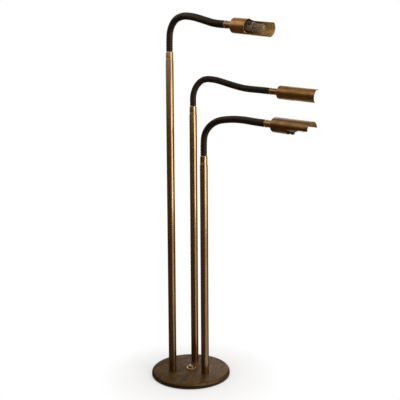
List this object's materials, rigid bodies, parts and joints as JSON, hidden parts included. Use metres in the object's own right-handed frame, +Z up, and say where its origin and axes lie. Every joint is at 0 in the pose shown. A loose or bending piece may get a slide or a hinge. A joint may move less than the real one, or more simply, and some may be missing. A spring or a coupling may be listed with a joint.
{
  "type": "gooseneck reading floor lamp",
  "caption": "Floor lamp with brass stems on a round weighted base, black flexible goosenecks and tubular brass shades cut open along the front.",
  "frame": {"origin": "centre of the base's underside, on the floor", "axes": "+Z up; +X to the right as the picture shows the lamp; -Y towards the viewer"},
  "size_m": [0.5059, 0.502, 1.141],
  "materials": {
    "aged_brass": "satin",
    "polished_brass": "polished",
    "bronze_cover": "satin",
    "cast_iron": "raw",
    "zinc_steel": "satin",
    "black_sleeve": "matte",
    "bakelite": "gloss",
    "felt": "matte",
    "clear_glass": "gloss",
    "nickel_cap": "satin",
    "lead_sheath": "matte"
  },
  "bodies": {
    "base": {"base_pad": "felt", "base_plate": "zinc_steel", "base_weight": "cast_iron", "base_cover": "bronze_cover", "cord_bushing": "bakelite", "switch_body": "bakelite", "switch_bezel": "polished_brass", "plate_screws": "zinc_steel", "stem_spigots": "aged_brass", "stem_washers": "zinc_steel", "stem_nuts": "polished_brass", "stem_rear": "aged_brass", "lead_rear": "lead_sheath", "ferrule_rear": "aged_brass", "gooseneck_rear_1": "black_sleeve", "stem_left": "aged_brass", "lead_left": "lead_sheath", "ferrule_left": "aged_brass", "gooseneck_left_1": "black_sleeve", "stem_right": "aged_brass", "lead_right": "lead_sheath", "ferrule_right": "aged_brass", "gooseneck_right_1": "black_sleeve"},
    "foot_button": {"switch_button": "polished_brass"},
    "gooseneck_rear_2": {"gooseneck_rear_2": "black_sleeve"},
    "gooseneck_rear_3": {"gooseneck_rear_3": "black_sleeve"},
    "gooseneck_rear_4": {"gooseneck_rear_4": "black_sleeve"},
    "gooseneck_rear_5": {"gooseneck_rear_5": "black_sleeve"},
    "gooseneck_rear_6": {"gooseneck_rear_6": "black_sleeve", "collar_rear": "polished_brass"},
    "head_rear": {"shade_rear": "aged_brass", "lampholder_rear": "bakelite", "bulb_cap_rear": "nickel_cap", "bulb_glass_rear": "clear_glass"},
    "switch_knob_rear": {"knob_rear": "bakelite"},
    "gooseneck_left_2": {"gooseneck_left_2": "black_sleeve"},
    "gooseneck_left_3": {"gooseneck_left_3": "black_sleeve"},
    "gooseneck_left_4": {"gooseneck_left_4": "black_sleeve"},
    "gooseneck_left_5": {"gooseneck_left_5": "black_sleeve"},
    "gooseneck_left_6": {"gooseneck_left_6": "black_sleeve", "collar_left": "polished_brass"},
    "head_left": {"shade_left": "aged_brass", "lampholder_left": "bakelite", "bulb_cap_left": "nickel_cap", "bulb_glass_left": "clear_glass"},
    "switch_knob_left": {"knob_left": "bakelite"},
    "gooseneck_right_2": {"gooseneck_right_2": "black_sleeve"},
    "gooseneck_right_3": {"gooseneck_right_3": "black_sleeve"},
    "gooseneck_right_4": {"gooseneck_right_4": "black_sleeve"},
    "gooseneck_right_5": {"gooseneck_right_5": "black_sleeve"},
    "gooseneck_right_6": {"gooseneck_right_6": "black_sleeve", "collar_right": "polished_brass"},
    "head_right": {"shade_right": "aged_brass", "lampholder_right": "bakelite", "bulb_cap_right": "nickel_cap", "bulb_glass_right": "clear_glass"},
    "switch_knob_right": {"knob_right": "bakelite"}
  },
  "joints": [
    {"name": "rear_bend_1", "type": "hinge", "parent": "base", "child": "gooseneck_rear_2", "pos_m": [0.0167, 0.0593, 0.92706], "axis": [-0.3746, -0.9272, 0], "range_deg": [-25, 25]},
    {"name": "rear_bend_2", "type": "hinge", "parent": "gooseneck_rear_2", "child": "gooseneck_rear_3", "pos_m": [0.05139, 0.04528, 0.9656], "axis": [0.0294, -0.0119, 0.9995], "range_deg": [-10, 25]},
    {"name": "rear_bend_3", "type": "hinge", "parent": "gooseneck_rear_3", "child": "gooseneck_rear_4", "pos_m": [0.10132, 0.02516, 0.95578], "axis": [-0.3979, -0.9174, 0], "range_deg": [-25, 25]},
    {"name": "rear_bend_4", "type": "hinge", "parent": "gooseneck_rear_4", "child": "gooseneck_rear_5", "pos_m": [0.14812, 0.00342, 0.93674], "axis": [0.2819, -0.1508, 0.9475], "range_deg": [-10, 25]},
    {"name": "rear_bend_5", "type": "hinge", "parent": "gooseneck_rear_5", "child": "gooseneck_rear_6", "pos_m": [0.19415, -0.02275, 0.92211], "axis": [-0.5423, -0.8402, 0], "range_deg": [-25, 25]},
    {"name": "rear_shade_swivel", "type": "hinge", "parent": "gooseneck_rear_6", "child": "head_rear", "pos_m": [0.27349, -0.07845, 0.90424], "axis": [0.7942, -0.577, -0.1908], "range_deg": [-160, 160]},
    {"name": "rear_knob_turn", "type": "hinge", "parent": "head_rear", "child": "switch_knob_rear", "pos_m": [0.32273, -0.11422, 0.89241], "axis": [0.533, 0.8121, -0.2375], "continuous": true},
    {"name": "left_bend_1", "type": "hinge", "parent": "base", "child": "gooseneck_left_2", "pos_m": [-0.05916, -0.01832, 1.08629], "axis": [-0.829, -0.5592, 0], "range_deg": [-25, 25]},
    {"name": "left_bend_2", "type": "hinge", "parent": "gooseneck_left_2", "child": "gooseneck_left_3", "pos_m": [-0.04094, -0.04533, 1.12813], "axis": [-0.0817, 0.1211, 0.9893], "range_deg": [-25, 25]},
    {"name": "left_bend_3", "type": "hinge", "parent": "gooseneck_left_3", "child": "gooseneck_left_4", "pos_m": [-0.01041, -0.09066, 1.12743], "axis": [-0.8157, -0.5785, 0], "range_deg": [-25, 25]},
    {"name": "left_bend_4", "type": "hinge", "parent": "gooseneck_left_4", "child": "gooseneck_left_5", "pos_m": [0.02088, -0.13266, 1.11075], "axis": [0.25, -0.3011, 0.9203], "range_deg": [-25, 25]},
    {"name": "left_bend_5", "type": "hinge", "parent": "gooseneck_left_5", "child": "gooseneck_left_6", "pos_m": [0.05402, -0.1707, 1.08888], "axis": [-0.7186, -0.6955, 0], "range_deg": [-25, 25]},
    {"name": "left_shade_swivel", "type": "hinge", "parent": "gooseneck_left_6", "child": "head_left", "pos_m": [0.12172, -0.23572, 1.05928], "axis": [0.7064, -0.6588, -0.2588], "range_deg": [-160, 160]},
    {"name": "left_knob_turn", "type": "hinge", "parent": "head_left", "child": "switch_knob_left", "pos_m": [0.16552, -0.27656, 1.04323], "axis": [-0.496, -0.7216, 0.483], "continuous": true},
    {"name": "right_bend_1", "type": "hinge", "parent": "base", "child": "gooseneck_right_2", "pos_m": [0.04539, -0.04234, 0.76028], "axis": [-0.7986, -0.6018, 0], "range_deg": [-25, 25]},
    {"name": "right_bend_2", "type": "hinge", "parent": "gooseneck_right_2", "child": "gooseneck_right_3", "pos_m": [0.06376, -0.06672, 0.80402], "axis": [-0.228, 0.3026, 0.9254], "range_deg": [-25, 25]},
    {"name": "right_bend_3", "type": "hinge", "parent": "gooseneck_right_3", "child": "gooseneck_right_4", "pos_m": [0.09568, -0.10911, 0.81724], "axis": [-0.7943, -0.6076, 0], "range_deg": [-25, 25]},
    {"name": "right_bend_4", "type": "hinge", "parent": "gooseneck_right_4", "child": "gooseneck_right_5", "pos_m": [0.12939, -0.15251, 0.8155], "axis": [0.0677, -0.0844, 0.9941], "range_deg": [-25, 25]},
    {"name": "right_bend_5", "type": "hinge", "parent": "gooseneck_right_5", "child": "gooseneck_right_6", "pos_m": [0.16377, -0.19471, 0.80772], "axis": [-0.765, -0.6441, 0], "range_deg": [-25, 25]},
    {"name": "right_shade_swivel", "type": "hinge", "parent": "gooseneck_right_6", "child": "head_right", "pos_m": [0.22701, -0.26814, 0.78966], "axis": [0.6461, -0.7432, -0.1736], "range_deg": [-160, 160]},
    {"name": "right_knob_turn", "type": "hinge", "parent": "head_right", "child": "switch_knob_right", "pos_m": [0.26707, -0.31422, 0.77889], "axis": [0.1249, 0.3274, -0.9366], "continuous": true},
    {"name": "foot_button_press", "type": "slide", "parent": "base", "child": "foot_button", "axis": [0, 0, 1], "range_m": [-0.004, 0], "stiffness_N_per_m": 500, "springref_m": 0.002}
  ]
}
